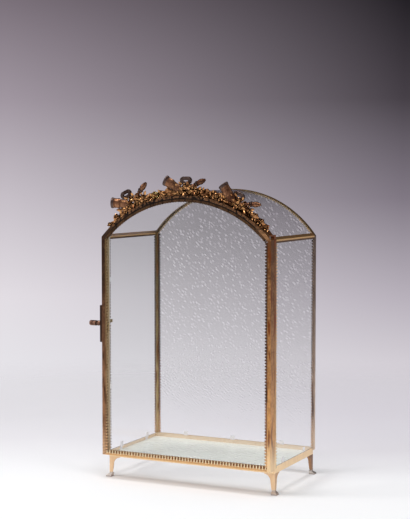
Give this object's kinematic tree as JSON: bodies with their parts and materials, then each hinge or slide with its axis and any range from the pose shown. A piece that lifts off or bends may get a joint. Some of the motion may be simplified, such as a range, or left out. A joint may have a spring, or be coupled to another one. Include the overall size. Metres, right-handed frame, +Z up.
{
  "type": "display cabinet",
  "caption": "Arched table display cabinet of gilt brass and glass with toothed edgings, hoof feet, a crest of trophies, and a glazed front door held by a turning latch.",
  "frame": {"origin": "on the floor, under the middle of the base frame and midway between the four soles", "axes": "+Z up, -Y to the front door, +X to the door's hinged edge on the right of someone facing the door"},
  "size_m": [0.2421, 0.1397, 0.3663],
  "materials": {
    "gilt_brass": "polished, worn gilding",
    "crest_brass": "cast, gilt on its high spots and dark in its hollows",
    "pin_steel": "drawn",
    "clear_glass": "clear",
    "figured_glass": "hammered",
    "green_glass": "figured, pale green"
  },
  "bodies": {
    "cabinet": {"base_front_rail": "gilt_brass", "base_left_rail": "gilt_brass", "base_rear_rail": "gilt_brass", "base_right_rail": "gilt_brass", "centre_quiver": "crest_brass", "centre_ribbon": "crest_brass", "centre_roses": "crest_brass", "centre_torch": "crest_brass", "crest_buds": "crest_brass", "crest_garland": "crest_brass", "floor_glass": "green_glass", "front_arch": "gilt_brass", "front_left_foot": "gilt_brass", "front_left_post": "gilt_brass", "front_right_foot": "gilt_brass", "front_right_post": "gilt_brass", "front_side_gallery": "gilt_brass", "front_sill": "gilt_brass", "glass_clips": "gilt_brass", "hinge_pins": "pin_steel", "hinge_washer": "gilt_brass", "latch_keeper": "gilt_brass", "left_quiver": "crest_brass", "left_ribbon": "crest_brass", "left_roses": "crest_brass", "left_side_glass": "clear_glass", "left_spring_rail": "gilt_brass", "left_torch": "crest_brass", "lower_hinge_bracket": "gilt_brass", "rear_arch": "gilt_brass", "rear_face_gallery": "gilt_brass", "rear_glass": "figured_glass", "rear_left_foot": "gilt_brass", "rear_left_post": "gilt_brass", "rear_right_foot": "gilt_brass", "rear_right_post": "gilt_brass", "rear_side_gallery": "gilt_brass", "rear_sill": "gilt_brass", "right_quiver": "crest_brass", "right_ribbon": "crest_brass", "right_roses": "crest_brass", "right_side_glass": "clear_glass", "right_spring_rail": "gilt_brass", "right_torch": "crest_brass", "top_glass": "clear_glass", "upper_hinge_bracket": "gilt_brass"},
    "door": {"door_left_stile": "gilt_brass", "door_right_stile": "gilt_brass", "door_arch": "gilt_brass", "door_bottom_rail": "gilt_brass", "door_gallery": "gilt_brass", "door_glass": "clear_glass", "door_clips": "gilt_brass", "door_hinge_blocks": "gilt_brass", "latch_case": "gilt_brass", "latch_rivets": "gilt_brass"},
    "latch": {"latch_knob": "gilt_brass", "latch_spindle": "gilt_brass", "latch_hook": "gilt_brass"}
  },
  "joints": [
    {"name": "door_swing", "type": "hinge", "parent": "cabinet", "child": "door", "pos_m": [0.108, -0.0732, 0.161], "axis": [0, 0, 1], "range_deg": [0, 110]},
    {"name": "latch_turn", "type": "hinge", "parent": "door", "child": "latch", "pos_m": [-0.11, -0.0704, 0.188], "axis": [1, 0, 0], "range_deg": [0, 90]}
  ]
}
